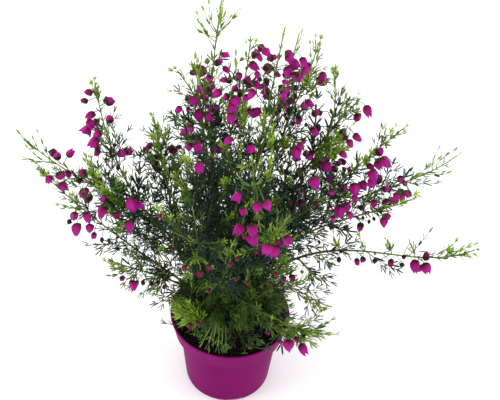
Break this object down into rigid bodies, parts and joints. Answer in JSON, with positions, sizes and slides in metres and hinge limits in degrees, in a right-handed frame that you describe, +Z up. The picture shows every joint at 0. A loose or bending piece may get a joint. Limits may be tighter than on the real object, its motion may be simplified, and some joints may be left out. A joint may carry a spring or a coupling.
{
  "type": "potted red boronia",
  "caption": "Flowering red boronia shrub in a thin plastic nursery pot: fanned woody stems, needle-leaved shoots and nodding magenta bells.",
  "frame": {"origin": "centre of the flat underside of the pot, on the surface it stands on", "axes": "+Z up along the pot's axis; +X to the viewer's right in the picture, along the plant's widest spread; -Y towards the viewer"},
  "size_m": [0.4311, 0.2601, 0.4151],
  "materials": {
    "pot_plastic": "injection-moulded polypropylene, satin",
    "soil": "loose bark and peat potting mix",
    "bark": "thin brown bark",
    "stem": "green to olive-brown young wood",
    "leaf": "waxy green leaf",
    "petal": "waxy magenta petal"
  },
  "bodies": {
    "root": {"flower_drooping_left": "petal", "flower_front_right": "petal", "flower_long_right": "petal", "flower_low_right": "petal", "flower_mid_left": "petal", "flower_mid_right": "petal", "flower_top_right": "petal", "flower_upper_left": "petal", "flower_upper_right": "petal", "leafy_shoot_front": "leaf", "leafy_shoot_long_right": "leaf", "leafy_shoot_low_left": "leaf", "leafy_shoot_low_right": "leaf", "leafy_shoot_mid_left": "leaf", "leafy_shoot_outer_right": "leaf", "leafy_shoot_right_fork": "leaf", "leafy_shoot_tall": "leaf", "leafy_shoot_tuft": "leaf", "pot": "pot_plastic", "potting_soil": "soil", "stem_back": "stem", "stem_back_left": "stem", "stem_back_low": "stem", "stem_back_low_left": "stem", "stem_back_low_right": "stem", "stem_back_right": "stem", "stem_drooping_left": "stem", "stem_far_left": "stem", "stem_front": "stem", "stem_front_centre": "stem", "stem_front_left": "stem", "stem_front_low": "stem", "stem_front_right": "stem", "stem_front_side": "stem", "stem_front_top": "stem", "stem_front_upper": "stem", "stem_left_bright": "stem", "stem_left_tuft": "stem", "stem_long_right": "stem", "stem_low_left": "stem", "stem_low_right": "stem", "stem_mid_left": "stem", "stem_mid_right": "stem", "stem_outer_right": "stem", "stem_right_budded": "stem", "stem_right_fork": "stem", "stem_right_inner": "stem", "stem_tall": "stem", "stem_thin_right": "stem", "stem_top_far_right": "stem", "stem_top_front": "stem", "stem_top_left": "stem", "stem_top_middle": "stem", "stem_top_right": "stem", "stem_tuft_front": "stem", "stem_tuft_left": "stem", "stem_tuft_right": "stem", "stem_upper_left": "stem", "stem_upper_right": "stem", "trunk": "bark"}
  },
  "joints": []
}
